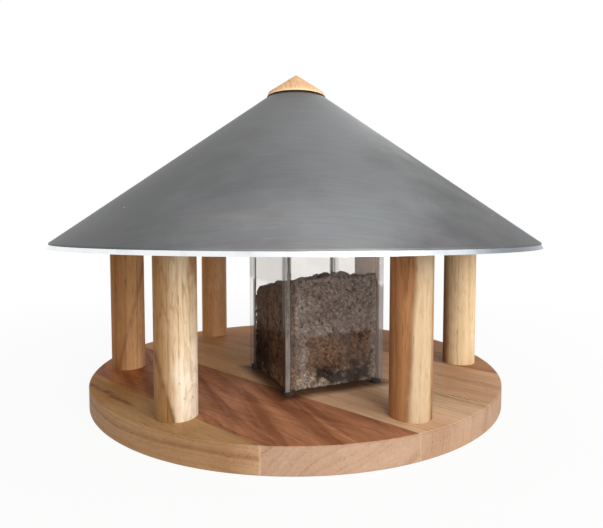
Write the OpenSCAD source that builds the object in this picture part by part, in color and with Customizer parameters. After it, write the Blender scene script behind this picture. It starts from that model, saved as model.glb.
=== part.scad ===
// Round garden bird feeder: an oak base on six oak posts, a zinc cone roof that lifts off,
// an oak finial, and a loose glass seed silo.
// Millimetres, +Z up. The origin is the centre of the base's underside.

/* [Base] */
// Diameter of the round oak base
base_d = 400; // [380:1:440]
// Thickness of the base
base_t = 20; // [18:0.5:30]
// Chamfer round the base's two edges
base_edge = 1; // [0.5:0.25:2]
// Width of a full glued stave
stave_w = 86; // [70:1:92]
// Width of the narrow stave at the base's rim
rim_stave_w = 38; // [20:1:60]
// Turn of the staves from the X axis, in degrees
stave_turn = -42; // [-90:1:90]

/* [Posts] */
// Diameter of a post
post_d = 32; // [24:0.5:36]
// Distance of a post's axis from the base's rim
post_inset = 29; // [24:0.5:45]
// Places of the posts round the base, in degrees from the X axis: the maker spaced them by eye
post_angles = [300.5, 239, 186, 130, 57, 0];
// Depth of a post's socket in the base
socket_depth = 10; // [6:0.5:14]
// Glue gap round a post in its socket
glue_gap = 0.1; // [0.05:0.05:0.3]

/* [Head ring] */
// Radial width of the ring that ties the posts together
ring_w = 40; // [36:1:48]
// Thickness of the ring
ring_t = 18; // [15:0.5:24]
// Height of the ring's upright outer edge, below its coned seat
ring_edge_h = 6; // [4:0.5:10]
// Depth of a post's socket in the ring
ring_socket = 5; // [3:0.5:8]

/* [Silo] */
// Outside width of the square silo
silo_w = 95; // [80:1:110]
// Height of the silo's panes
silo_h = 138; // [120:1:140]
// Thickness of the glass
pane_t = 4; // [3:0.5:5]
// Turn of the silo about its own centre, in degrees
silo_turn = 24; // [0:0.5:45]
// Place of the loose silo from the middle of the base, along X
silo_x = 16.5; // [-25:0.5:25]
// Place of the loose silo from the middle of the base, along Y
silo_y = -47; // [-50:0.5:25]
// Height of the pads that let the seed out under the glass
pad_h = 4; // [3:0.5:6]
// Diameter of a pad
pad_d = 10; // [8:0.5:14]
// Mean height of the seed at the silo's front
seed_h = 98; // [60:1:112]
// How much lower the seed lies at the silo's back right corner than at the front
seed_lean = 17; // [0:0.5:24]
// Height of the seed's waves
seed_wave = 5; // [1:0.5:6]

/* [Roof] */
// How far the cone's eave reaches past the base
roof_overhang = 28.5; // [20:0.5:45]
// Slope of the cone, in degrees
roof_slope = 36; // [30:0.5:40]
// Thickness of the zinc sheet
sheet_t = 1; // [0.8:0.1:1.5]
// Clear height from the base to the drip edge
bay_h = 123; // [118:0.5:140]
// Height of the turned-down drip edge
drip_h = 4.5; // [4:0.5:8]
// How far the drip edge flares outwards
drip_flare = 1.5; // [0.5:0.25:3]
// Width of the drip edge's leg, soldered under the cone
drip_leg = 10; // [6:0.5:16]
// Width of the lapped seam at the back
seam_w = 12; // [8:0.5:20]
// Solder between the cone and the sheet strips on it
solder_t = 0.1; // [0.05:0.05:0.3]
// Gap between pieces that seat on each other
seat_gap = 0.3; // [0.2:0.05:0.4]

/* [Finial] */
// Diameter of the turned oak finial
finial_d = 60; // [50:1:70]
// Height of the finial's steep edge
finial_edge = 4; // [1:0.25:6]
// How far that edge leans in
finial_taper = 1.5; // [0:0.25:3]
// Height of the finial's cone above its edge
finial_h = 19.5; // [16:0.5:30]
// Radius of the rounded tip
finial_tip_r = 2.5; // [1:0.25:4]
// Shadow gap under the finial's overhanging rim
finial_relief = 1; // [0.5:0.25:2]
// Width of that overhanging rim
finial_overhang = 4; // [2:0.5:6]
// Diameter of the finial's spigot
spigot_d = 14; // [12:0.5:18]
// Widest diameter of the oak plug inside the cone's tip
plug_d = 84; // [70:1:96]
// Height of the plug's upright edge
plug_edge = 6; // [4:0.5:12]
// Diameter of the washer under the plug
washer_d = 20; // [16:0.5:26]
// Thickness of the washer
washer_t = 1.5; // [1:0.25:3]
// Shank diameter of the screw that draws the finial down
screw_d = 5; // [4:0.25:6]
// Head diameter of the screw
screw_head_d = 10; // [8:0.25:12]
// Height of the screw's head
screw_head_h = 3; // [2:0.25:5]
// How far the screw runs up into the finial
screw_bite = 9; // [6:0.5:11]

/* [Hidden] */
$fn = 144;
stave_count = 5;
post_count = len(post_angles);
eps = 1;
// Width of the plug's flat top round the tip hole, and how deep the spigot sits in the plug
plug_top_w = 2;
spigot_depth = 6;

base_r = base_d / 2;
roof_r = base_r + roof_overhang;
post_circle_r = base_r - post_inset;
finial_r = finial_d / 2;
spigot_r = spigot_d / 2;

// Heights of the roof: the eave is where the cone turns down into the drip edge.
drip_z = base_t + bay_h;
eave_z = drip_z + drip_h;
// What the sheet, the solder and the seat gap measure upright, on the slope
sheet_v = sheet_t / cos(roof_slope);
solder_v = solder_t / cos(roof_slope);
gap_v = seat_gap / cos(roof_slope);

// Height of the cone's outer and inner faces at a distance r from the axis
function roof_top(r) = eave_z + (roof_r - r) * tan(roof_slope);
function roof_under(r) = roof_top(r) - sheet_v;

// The head ring: its coned seat follows the underside of the roof.
ring_in = post_circle_r - ring_w / 2;
ring_out = post_circle_r + ring_w / 2;
ring_z = roof_under(ring_out) - gap_v - ring_edge_h;
ring_seat_in = ring_out - (ring_t - ring_edge_h) / tan(roof_slope);

post_z = base_t - socket_depth;
post_h = ring_z + ring_socket - post_z;

// The finial sits on the cone round its spigot, and the plug under it.
tip_hole_r = spigot_r + seat_gap;
finial_z = roof_top(finial_r) + gap_v + finial_relief;
finial_seat_r = finial_r - finial_overhang;
plug_r = plug_d / 2;
plug_z = roof_under(plug_r) - gap_v - plug_edge;
plug_top_r = tip_hole_r + plug_top_w;
spigot_z = roof_under(plug_top_r) - gap_v - spigot_depth;

SEED_CELLS = 12;

// Moves its children to post i, counted from the front right, clockwise seen from above.
module at_post(i) {
    rotate(post_angles[i - 1]) translate([post_circle_r, 0, 0]) children();
}

// Moves its children to the middle of the silo's footprint, turned with it.
module at_silo() {
    translate([silo_x, silo_y, base_t]) rotate(silo_turn) children();
}

// Distance of the i-th glue line from the centre; the outer two lie past the base.
function glue_line(i) =
    i == 0 ? -base_d :
    i == stave_count ? base_d :
    rim_stave_w - base_r + (i - 1) * stave_w;

module base_disc() {
    rotate_extrude() polygon([
        [0, 0], [base_r - base_edge, 0], [base_r, base_edge],
        [base_r, base_t - base_edge], [base_r - base_edge, base_t], [0, base_t]
    ]);
}

module base_stave(i) {
    color(i % 2 == 0 ? "peru" : "burlywood") intersection() {
        difference() {
            base_disc();
            for (p = [1:post_count]) at_post(p) translate([0, 0, post_z])
                cylinder(d = post_d + 2 * glue_gap, h = socket_depth + eps);
        }
        rotate(stave_turn) translate([-base_d, glue_line(i - 1), -eps])
            cube([2 * base_d, glue_line(i) - glue_line(i - 1), base_t + 2 * eps]);
    }
}

module post(i) {
    color("burlywood") at_post(i) translate([0, 0, post_z]) cylinder(d = post_d, h = post_h);
}

module head_ring() {
    color("peru") difference() {
        rotate_extrude() polygon([
            [ring_in, ring_z], [ring_out, ring_z], [ring_out, ring_z + ring_edge_h],
            [ring_seat_in, ring_z + ring_t], [ring_in, ring_z + ring_t]
        ]);
        for (p = [1:post_count]) at_post(p) translate([0, 0, ring_z - eps])
            cylinder(d = post_d + 2 * glue_gap, h = ring_socket + eps);
    }
}

// One pane, on the side that faces the given turn. The two side panes cover the edges of the others.
module silo_pane(turn, width) {
    color("lightblue", 0.4) at_silo() rotate(turn)
        translate([-width / 2, -silo_w / 2, pad_h]) cube([width, pane_t, silo_h]);
}

module silo_pads() {
    corner = silo_w / 2 - pad_d / 2;
    color("whitesmoke") at_silo() for (x = [-corner, corner], y = [-corner, corner])
        translate([x, y, 0]) cylinder(d = pad_d, h = pad_h);
}

// Height of the seed above the base, at a place given as shares of the silo's width and depth
function seed_top(u, v) =
    seed_h - seed_lean * v * (2 + u) / 3 + seed_wave * (0.4 * sin(800 * u + 300 * v + 10) - 0.7 * cos(280 * u));

module seed_fill() {
    n = SEED_CELLS;
    w = silo_w - 2 * pane_t - 2 * seat_gap;
    row = n + 1;
    function place(i, j, z) = [(i / n - 0.5) * w, (j / n - 0.5) * w, z];
    tops = [for (j = [0:n], i = [0:n]) place(i, j, seed_top(i / n, j / n))];
    feet = [for (j = [0:n], i = [0:n]) place(i, j, pad_h)];
    count = row * row;
    quads = [for (j = [0:n - 1], i = [0:n - 1]) j * row + i];
    up = [for (q = quads) each [[q, q + row + 1, q + 1], [q, q + row, q + row + 1]]];
    down = [for (q = quads) each [[q, q + 1, q + row + 1], [q, q + row + 1, q + row]]];
    rim = concat(
        [for (i = [0:n - 1]) i], [for (j = [0:n - 1]) j * row + n],
        [for (i = [n:-1:1]) n * row + i], [for (j = [n:-1:1]) j * row]
    );
    sides = [for (k = [0:len(rim) - 1])
        let (a = rim[k], b = rim[(k + 1) % len(rim)])
        each [[a, b, b + count], [a, b + count, a + count]]];
    color("dimgray") at_silo() {
        polyhedron(
            points = concat(tops, feet),
            faces = concat(up, [for (f = down) [for (p = f) p + count]], sides)
        );
        // The foot is narrower, inside the pads, and lets the body down to the base.
        foot = silo_w - 2 * pane_t - 2 * pad_d;
        translate([-foot / 2, -foot / 2, 0]) cube([foot, foot, pad_h + eps]);
    }
}

module roof_cone() {
    color("slategray") rotate_extrude() polygon([
        [roof_r, eave_z], [tip_hole_r, roof_top(tip_hole_r)],
        [tip_hole_r, roof_under(tip_hole_r)], [roof_r, roof_under(roof_r)]
    ]);
}

// The edge strip: one leg lies under the cone, the other is turned down and flares outwards.
module roof_drip_edge() {
    leg_in = roof_r - drip_leg;
    function leg_top(r) = roof_under(r) - solder_v;
    color("lightslategray") rotate_extrude() polygon([
        [leg_in, leg_top(leg_in)], [roof_r, leg_top(roof_r)],
        [roof_r + drip_flare, drip_z], [roof_r + drip_flare - sheet_t, drip_z],
        [roof_r - sheet_t, leg_top(roof_r) - sheet_v], [leg_in, leg_top(leg_in) - sheet_v]
    ]);
}

// The lap at the back: a second layer of sheet on the cone, from the finial to the eave.
module roof_seam() {
    seam_in = finial_r + eps;
    function seam_under(r) = roof_top(r) + solder_v;
    color("slategray") intersection() {
        rotate_extrude() polygon([
            [roof_r, seam_under(roof_r)], [seam_in, seam_under(seam_in)],
            [seam_in, seam_under(seam_in) + sheet_v], [roof_r, seam_under(roof_r) + sheet_v]
        ]);
        translate([-seam_w / 2, 0, 0]) cube([seam_w, roof_r + eps, roof_top(0) + eps]);
    }
}

module finial() {
    tip = finial_tip_r;
    rise = atan(finial_h / (finial_r - finial_taper));
    top = finial_z + finial_edge + finial_h;
    // Centre of the tip's arc, so that the arc leaves the sloping side smoothly
    tip_z = top - tip / cos(rise);
    color("sandybrown") difference() {
        rotate_extrude() polygon(concat(
            [[0, spigot_z], [spigot_r, spigot_z], [spigot_r, roof_top(spigot_r) + gap_v]],
            [[finial_seat_r, roof_top(finial_seat_r) + gap_v]],
            [[finial_seat_r, finial_z + (finial_r - finial_seat_r) * tan(roof_slope)]],
            [[finial_r, finial_z], [finial_r - finial_taper, finial_z + finial_edge]],
            [for (a = [90 - rise:15:90]) [tip * cos(a), tip_z + tip * sin(a)]],
            [[0, tip_z + tip]]
        ));
        translate([0, 0, spigot_z - eps])
            cylinder(d = screw_d + 2 * glue_gap, h = screw_bite + seat_gap + eps);
    }
}

// The plug under the cone's tip, with a stepped bore for the finial's spigot and its screw.
module roof_plug() {
    color("peru") difference() {
        rotate_extrude() polygon([
            [0, plug_z], [plug_r, plug_z], [plug_r, plug_z + plug_edge],
            [plug_top_r, roof_under(plug_top_r) - gap_v], [0, roof_under(plug_top_r) - gap_v]
        ]);
        translate([0, 0, spigot_z]) cylinder(d = spigot_d + 2 * glue_gap, h = plug_d);
        translate([0, 0, plug_z - eps]) cylinder(d = screw_d + 2 * glue_gap, h = plug_d);
    }
}

module finial_washer() {
    color("silver") translate([0, 0, plug_z - washer_t]) difference() {
        cylinder(d = washer_d, h = washer_t);
        translate([0, 0, -eps]) cylinder(d = screw_d + 2 * glue_gap, h = washer_t + 2 * eps);
    }
}

module finial_screw() {
    head_z = plug_z - washer_t - screw_head_h;
    color("silver") {
        translate([0, 0, head_z]) cylinder(d = screw_head_d, h = screw_head_h);
        translate([0, 0, head_z]) cylinder(d = screw_d, h = spigot_z + screw_bite - head_z);
    }
}

for (i = [1:stave_count]) base_stave(i);
for (i = [1:post_count]) post(i);
head_ring();
silo_pane(0, silo_w - 2 * pane_t);  // silo_pane_front
silo_pane(90, silo_w);  // silo_pane_right
silo_pane(180, silo_w - 2 * pane_t);  // silo_pane_back
silo_pane(270, silo_w);  // silo_pane_left
silo_pads();
seed_fill();
roof_cone();
roof_drip_edge();
roof_seam();
finial();
roof_plug();
finial_washer();
finial_screw();
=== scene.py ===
"""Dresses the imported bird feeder, of oak, glass and zinc, and fills its silo with seed.

Everything is in metres, +Z up, with the origin in the middle of the base's underside.
"""

import math
from typing import NamedTuple

import bmesh
import bpy
from bpy.props import FloatProperty, FloatVectorProperty, IntProperty, PointerProperty
from mathutils import Matrix, Vector
from mathutils.noise import noise as noise_at


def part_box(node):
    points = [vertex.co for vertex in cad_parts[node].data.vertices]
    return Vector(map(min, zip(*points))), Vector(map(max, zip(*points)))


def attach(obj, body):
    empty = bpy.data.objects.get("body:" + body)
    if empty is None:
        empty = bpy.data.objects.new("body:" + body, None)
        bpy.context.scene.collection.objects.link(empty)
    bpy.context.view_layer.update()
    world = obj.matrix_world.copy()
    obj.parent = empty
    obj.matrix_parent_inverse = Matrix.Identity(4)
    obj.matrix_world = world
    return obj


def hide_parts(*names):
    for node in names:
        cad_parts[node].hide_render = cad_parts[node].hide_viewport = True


bl_info = {
    "name": "Bird Feeder",
    "version": (1, 0, 0),
    "blender": (4, 5, 0),
    "location": "3D View > Sidebar > Bird Feeder",
    "description": "Finishes and fittings of a round oak bird feeder with a zinc roof",
    "category": "Object",
}

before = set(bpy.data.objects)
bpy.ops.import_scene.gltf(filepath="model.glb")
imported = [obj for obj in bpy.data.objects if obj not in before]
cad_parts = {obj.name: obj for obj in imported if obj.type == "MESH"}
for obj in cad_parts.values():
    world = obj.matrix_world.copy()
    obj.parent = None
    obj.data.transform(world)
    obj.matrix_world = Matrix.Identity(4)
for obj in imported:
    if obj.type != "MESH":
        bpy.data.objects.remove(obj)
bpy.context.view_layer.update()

STAVES = [f"base_stave_{i}" for i in range(1, 6)]
POSTS = [f"post_{i}" for i in range(1, 7)]
PANES = [f"silo_pane_{side}" for side in ("front", "right", "back", "left")]
BASE_RADIUS = max(-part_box(name)[0].x for name in STAVES)

# Distances from the middle between which the base's oiled top turns into its sawn rim
SAWN_AT = (BASE_RADIUS - 0.0012, BASE_RADIUS - 0.0006)
# Where along X the rim turns from older into fresher wood
FRESH_AT = (-0.045, -0.02)
# Thickness of a pane, and how far inside the panes' outer faces the seed stays
PANE = 0.004
SEED_INSET = 0.0042
# Height above the base up to which the pale grains lie
GRAINS_TOP = 0.017
# Heights above the base between which dust on the panes comes in, from the seed's top down
SEED_FADE = (0.094, 0.086)
# How far a screw's head stands proud, and what sets the screws' turns
SCREW_PROUD = 0.0002
SCREW_SEED = 3
GLASS_IOR = 1.45
# Steps along a sealant bead and along a solder bead
BEAD_STEPS = 40
SOLDER_STEPS = 120
# Corner and step at which the sealant has a lump
BEAD_LUMP = (-1, -1, 28)
FLOOR_RADIUS = 6
FLOOR_DROP = 0.0002
# What the lamps are aimed at
AIM = Vector((0, 0, 0.12))
HALF = (0.5, 0.5, 0.5)
WHITE = (1.0, 1.0, 1.0, 1.0)


def tone(code):
    """The linear colour of an sRGB code such as "C8A078"."""

    def linear(level):
        return level / 12.92 if level <= 0.04045 else ((level + 0.055) / 1.055) ** 2.4

    return tuple(linear(int(code[i : i + 2], 16) / 255) for i in (0, 2, 4))


def middle(name):
    """The middle of a node's box."""
    low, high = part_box(name)
    return (low + high) / 2


# ---------------------------------------------------------------- settings


class FeederOak(bpy.types.PropertyGroup):
    """Oak of the base, the posts, the ring and the finial."""

    stave_turn: FloatProperty(
        name="Stave turn", subtype="ANGLE", default=math.radians(-42),
        description="Direction of the grain of the base's staves, from the X axis",
    )
    pores: FloatProperty(
        name="Pores", description="How strongly the open pores show", default=0.75, min=0, max=1
    )
    roughness: FloatProperty(
        name="Roughness", description="Roughness of the oiled wood", default=0.6, min=0.1, max=1
    )
    sap_pale: FloatVectorProperty(
        name="Sapwood", subtype="COLOR", default=tone("EBD0A9"),
        description="Pale tone of the sapwood",
    )
    sap_dark: FloatVectorProperty(
        name="Sapwood lines", subtype="COLOR", default=tone("B8905F"),
        description="Tone of the lines in the sapwood",
    )
    crack: FloatVectorProperty(
        name="Cracks", subtype="COLOR", default=tone("4A2E1B"),
        description="Tone inside cracks and dark streaks",
    )


class FeederRing(bpy.types.PropertyGroup):
    """Screws in the head ring."""

    head: FloatProperty(
        name="Screw head", unit="LENGTH", default=0.008,
        description="Diameter of a countersunk head",
    )
    inset: FloatProperty(
        name="Inset", unit="LENGTH", default=0.003,
        description="How far a screw stands in from its post's axis",
    )


class FeederSilo(bpy.types.PropertyGroup):
    """Glass silo and the seed in it."""

    turn: FloatProperty(
        name="Silo turn", subtype="ANGLE", default=math.radians(24),
        description="Turn of the silo about its own middle",
    )
    glass: FloatVectorProperty(
        name="Glass", subtype="COLOR", default=tone("FBF9F5"), description="Tint of the glass"
    )
    bead: FloatProperty(
        name="Bead radius", unit="LENGTH", default=0.0016, min=0.0005,
        description="Radius of the sealant bead in each corner",
    )
    crumbs: IntProperty(
        name="Crumbs", description="Chopped kernels that show", default=9200, min=0, max=9500
    )
    crumb_size: FloatProperty(
        name="Crumb size", unit="LENGTH", default=0.0046, description="Length of a chopped kernel"
    )
    husks: IntProperty(
        name="Husked seeds", default=900, min=0, max=2000,
        description="Dark husked seeds that show",
    )
    husk_size: FloatProperty(
        name="Husked seed size", unit="LENGTH", default=0.0056,
        description="Length of a husked seed",
    )
    grains: IntProperty(
        name="Pale grains", description="Pale grains near the foot", default=3200, min=0, max=4000
    )
    grain_size: FloatProperty(
        name="Grain size", unit="LENGTH", default=0.0042, description="Length of a pale grain"
    )
    scatter_seed: IntProperty(
        name="Scatter", description="Changes how the seed lies", default=11, min=0
    )


class FeederRoof(bpy.types.PropertyGroup):
    """Zinc roof."""

    slope: FloatProperty(
        name="Slope", subtype="ANGLE", default=math.radians(36), description="Slope of the cone"
    )
    zinc: FloatVectorProperty(
        name="Zinc", subtype="COLOR", default=tone("676869"),
        description="Tone of the weathered sheet",
    )
    edge: FloatVectorProperty(
        name="Edge", subtype="COLOR", default=tone("F1F3F5"),
        description="Tone of the bright drip edge",
    )
    solder: FloatProperty(
        name="Solder bead", unit="LENGTH", default=0.0007,
        description="Radius of the solder bead beside the seam",
    )


class FeederStage(bpy.types.PropertyGroup):
    """Camera, floor and lamps."""

    lens: FloatProperty(
        name="Lens", description="Focal length in millimetres", default=28.53, min=10
    )
    eye: FloatVectorProperty(
        name="Eye", subtype="TRANSLATION", unit="LENGTH", default=(0.0055, -0.498, 0.1583),
        description="Place of the camera",
    )
    pitch: FloatProperty(
        name="Pitch", subtype="ANGLE", default=math.radians(87.02),
        description="Tilt of the camera, where 90 degrees is level",
    )
    rise: FloatProperty(
        name="Rise", description="Upward shift of the view", default=-0.0154, min=-0.1, max=0.1
    )
    floor: FloatVectorProperty(
        name="Floor", subtype="COLOR", default=tone("FAFAFA"), description="Tone of the floor"
    )
    glow: FloatProperty(
        name="Floor glow", subtype="FACTOR", default=0.9, min=0, max=1,
        description="How much of the white backdrop shows in the floor near the feeder",
    )
    key: FloatProperty(
        name="Key lamp", unit="POWER", default=31,
        description="Power of the lamp at the front right",
    )
    fill: FloatProperty(
        name="Fill lamp", unit="POWER", default=8,
        description="Power of the low lamps at the sides and the back",
    )
    sky: FloatProperty(
        name="Sky", description="Strength of the even light from all round", default=0.5, min=0
    )


# ---------------------------------------------------------------- node trees


class Value:
    """An output in a node tree. Arithmetic with it adds nodes to that tree."""

    def __init__(self, socket):
        self.socket, self.tree = socket, socket.id_data

    def maths(self, operation, *others, clamp=False):
        inputs = dict(enumerate((self, *others)))
        return read(self.tree, "ShaderNodeMath", inputs, operation=operation, use_clamp=clamp)

    def joined(self, operation, other):
        """Vector maths on a vector or with a tuple, and plain maths otherwise."""
        if self.socket.type == "VECTOR" or isinstance(other, tuple):
            inputs = {0: self, 1: other}
            return read(self.tree, "ShaderNodeVectorMath", inputs, operation=operation)
        return self.maths(operation, other)

    def __add__(self, other):
        return self.joined("ADD", other)

    def __sub__(self, other):
        return self.joined("SUBTRACT", other)

    def __rsub__(self, other):
        return read(self.tree, "ShaderNodeMath", {0: other, 1: self}, operation="SUBTRACT")

    def __mul__(self, other):
        return self.joined("MULTIPLY", other)

    def __truediv__(self, other):
        return self.joined("DIVIDE", other)

    def __abs__(self):
        return self.maths("ABSOLUTE")

    def most(self, other):
        """The larger of the two."""
        return self.maths("MAXIMUM", other)

    def dot(self, way):
        inputs = {0: self, 1: way}
        return read(self.tree, "ShaderNodeVectorMath", inputs, "Value", operation="DOT_PRODUCT")

    def length(self):
        return read(self.tree, "ShaderNodeVectorMath", {0: self}, "Value", operation="LENGTH")

    def scaling(self, given):
        """A vector or colour, times this value."""
        inputs = {0: given, "Scale": self}
        return read(self.tree, "ShaderNodeVectorMath", inputs, operation="SCALE")

    def axes(self):
        """Its X, Y and Z."""
        return [Value(s) for s in node(self.tree, "ShaderNodeSeparateXYZ", {0: self}).outputs]

    def ranged(self, low, high, to_low=0.0, to_high=1.0):
        """Taken smoothly from low..high to to_low..to_high, and held there outside."""
        inputs = dict(enumerate((self, low, high, to_low, to_high)))
        return read(self.tree, "ShaderNodeMapRange", inputs, interpolation_type="SMOOTHSTEP")

    def within(self, low, high, soft=0.003):
        """One between low and high, and zero outside."""
        return self.ranged(low - soft, low + soft) * self.ranged(high + soft, high - soft)

    def between(self, first, second):
        """The first colour where this value is zero, and the second where it is one."""
        return mix(self.tree, self, first, second)

    def tinted(self, tint):
        """This colour, multiplied by a tint."""
        return mix(self.tree, 1.0, self, tint, "MULTIPLY")

    def shaded(self, share, tint):
        """This colour, with a share of it tinted."""
        return mix(self.tree, share, self, self.tinted(tint))


def wire(made, inputs):
    """Gives a node's inputs their values. A Value is joined to its input."""
    for key, given in inputs.items():
        socket = made.inputs[key]
        if isinstance(given, Value):
            given.tree.links.new(given.socket, socket)
        elif isinstance(given, tuple) and len(given) == 3 and socket.type == "RGBA":
            socket.default_value = (*given, 1)
        else:
            socket.default_value = given


def node(tree, kind, inputs=None, **settings):
    """Adds a node."""
    made = tree.nodes.new(kind)
    for key, setting in settings.items():
        setattr(made, key, setting)
    wire(made, inputs or {})
    return made


def read(tree, kind, inputs=None, output=0, **settings):
    """Adds a node, and reads one of its outputs."""
    return Value(node(tree, kind, inputs, **settings).outputs[output])


def mix(tree, share, first, second, blend="MIX"):
    made = node(tree, "ShaderNodeMix", {"Factor": share}, data_type="RGBA", blend_type=blend)
    keys = {s.identifier: i for i, s in enumerate(made.inputs)}
    wire(made, {keys["A_Color"]: first, keys["B_Color"]: second})
    return Value(next(s for s in made.outputs if s.identifier == "Result_Color"))


def noise(coords, scale, detail=2.0, rough=0.5, output="Fac", distortion=0.0):
    inputs = {"Vector": coords, "Scale": scale, "Detail": detail}
    inputs |= {"Roughness": rough, "Distortion": distortion}
    return read(coords.tree, "ShaderNodeTexNoise", inputs, output)


def ramp(factor, stops):
    """A colour ramp, with a stop for each (position, colour)."""
    made = node(factor.tree, "ShaderNodeValToRGB", {"Fac": factor})
    elements = made.color_ramp.elements
    while len(elements) < len(stops):
        elements.new(1.0)
    for element, (place, colour) in zip(elements, stops):
        element.position = place
        element.color = (*colour, 1)
    return Value(made.outputs["Color"])


def specks(coords, scale, rim, core, spare):
    """Small round specks, in the cells of a scatter that draw more than spare."""
    cells = node(coords.tree, "ShaderNodeTexVoronoi", {"Vector": coords, "Scale": scale})
    drawn = read(coords.tree, "ShaderNodeSeparateColor", {0: Value(cells.outputs["Color"])})
    return Value(cells.outputs["Distance"]).ranged(rim, core) * drawn.maths("GREATER_THAN", spare)


def placed(tree, location=(0, 0, 0), rotation=(0, 0, 0)):
    """Object coordinates as read from a frame at that place and turn."""
    coords = read(tree, "ShaderNodeTexCoord", output="Object")
    inputs = {"Vector": coords, "Location": location, "Rotation": rotation}
    return read(tree, "ShaderNodeMapping", inputs, vector_type="TEXTURE")


def layered(share, under, over):
    """Two shaders, mixed by a share."""
    return read(share.tree, "ShaderNodeMixShader", {0: share, 1: under, 2: over})


def seen_directly(tree):
    """One for rays from the camera, also by way of glass and bright metal."""
    path = node(tree, "ShaderNodeLightPath").outputs
    camera, glossy, through = (
        Value(path[f"Is {kind} Ray"]) for kind in ("Camera", "Glossy", "Transmission")
    )
    return camera.most(glossy).most(through)


def material(name):
    """A fresh material with its tree and its Principled shader."""
    made = bpy.data.materials.new(name)
    made.use_nodes = True
    return made, made.node_tree, made.node_tree.nodes["Principled BSDF"]


def bump(shader, height, strength, distance):
    inputs = {"Height": height, "Strength": strength, "Distance": distance}
    wire(shader, {"Normal": read(height.tree, "ShaderNodeBump", inputs, "Normal")})


def group(name, kind, inputs, outputs):
    """An empty node group with named sockets, its inputs as values, and its output node."""
    tree = bpy.data.node_groups.new(name, kind)
    for way, sockets in (("INPUT", inputs), ("OUTPUT", outputs)):
        for label, socket in sockets.items():
            tree.interface.new_socket(label, in_out=way, socket_type="NodeSocket" + socket)
    if kind == "GeometryNodeTree":
        tree.is_modifier = True
    given = {s.name: Value(s) for s in tree.nodes.new("NodeGroupInput").outputs if s.name}
    return tree, given, tree.nodes.new("NodeGroupOutput")


def chance(tree, kind, low, high, seed):
    """A random value between low and high for each point."""
    made = node(tree, "FunctionNodeRandomValue", {"Seed": seed}, data_type=kind)
    ends = [s for s in made.inputs if s.name in ("Min", "Max") and s.enabled]
    ends[0].default_value, ends[1].default_value = low, high
    return Value(next(s for s in made.outputs if s.enabled))


# ---------------------------------------------------------------- pieces


def give(name, finish):
    """Puts a finish on a CAD node."""
    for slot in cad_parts[name].material_slots:
        slot.material = finish


def linked(name, data):
    """A new object in the scene."""
    made = bpy.data.objects.new(name, data)
    bpy.context.scene.collection.objects.link(made)
    return made


def meshed(name, shape):
    """A mesh from a bmesh, which is freed."""
    mesh = bpy.data.meshes.new(name)
    shape.to_mesh(mesh)
    shape.free()
    return mesh


def new_piece(name, shape, finish, body):
    """Makes a piece from a bmesh, and lets it ride on a body."""
    bmesh.ops.recalc_face_normals(shape, faces=shape.faces)
    mesh = meshed(name, shape)
    mesh.materials.append(finish)
    piece = linked(name, mesh)
    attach(piece, body)
    return piece


def grown(name, mesh, tree, values):
    """Runs a Geometry Nodes tree on a mesh, and returns the result as a plain object."""
    host = linked(name + "_host", mesh)
    modifier = host.modifiers.new("Grow", "NODES")
    modifier.node_group = tree
    sockets = {s.name: s.identifier for s in tree.interface.items_tree if s.in_out == "INPUT"}
    for key, value in values.items():
        modifier[sockets[key]] = value
    graph = bpy.context.evaluated_depsgraph_get()
    result = bpy.data.meshes.new_from_object(
        host.evaluated_get(graph), preserve_all_data_layers=True, depsgraph=graph
    )
    bpy.data.objects.remove(host)
    return linked(name, result)


def wall(shape, above, below):
    """Faces between two closed rows of points."""
    for i in range(len(above)):
        j = (i + 1) % len(above)
        shape.faces.new((above[i], above[j], below[j], below[i]))


def bar(shape, rows):
    """A closed bar through rows of points."""
    for above, below in zip(rows, rows[1:]):
        wall(shape, above, below)
    shape.faces.new(rows[0][::-1])
    shape.faces.new(rows[-1])


# ---------------------------------------------------------------- oak


class Board(NamedTuple):
    """How one piece of oak was cut from its log."""

    pale: str
    dark: str
    pith: tuple
    ring: float = 0.0035
    wave: float = 0.003
    curl: float = 0.16
    figure: float = 0.7
    sawn: str = ""
    fresh: str = ""


class Edge(NamedTuple):
    """An upright or leaning plane in a post, at which the wood changes."""

    offset: float
    lean: float = 0.0
    way: int = 1
    soft: float = 0.002
    line: float = 0.0


class Sap(NamedTuple):
    """Where a post's heartwood turns into paler wood."""

    turn: float
    edges: tuple
    pale: str = ""
    dark: str = ""


# How dark a year's ring is drawn, from its start to its end
RING_LEVELS = ((0.0, 0.45), (0.1, 1.0), (0.3, 0.35), (0.55, 0.08), (0.9, 0.0), (1.0, 0.45))


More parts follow.
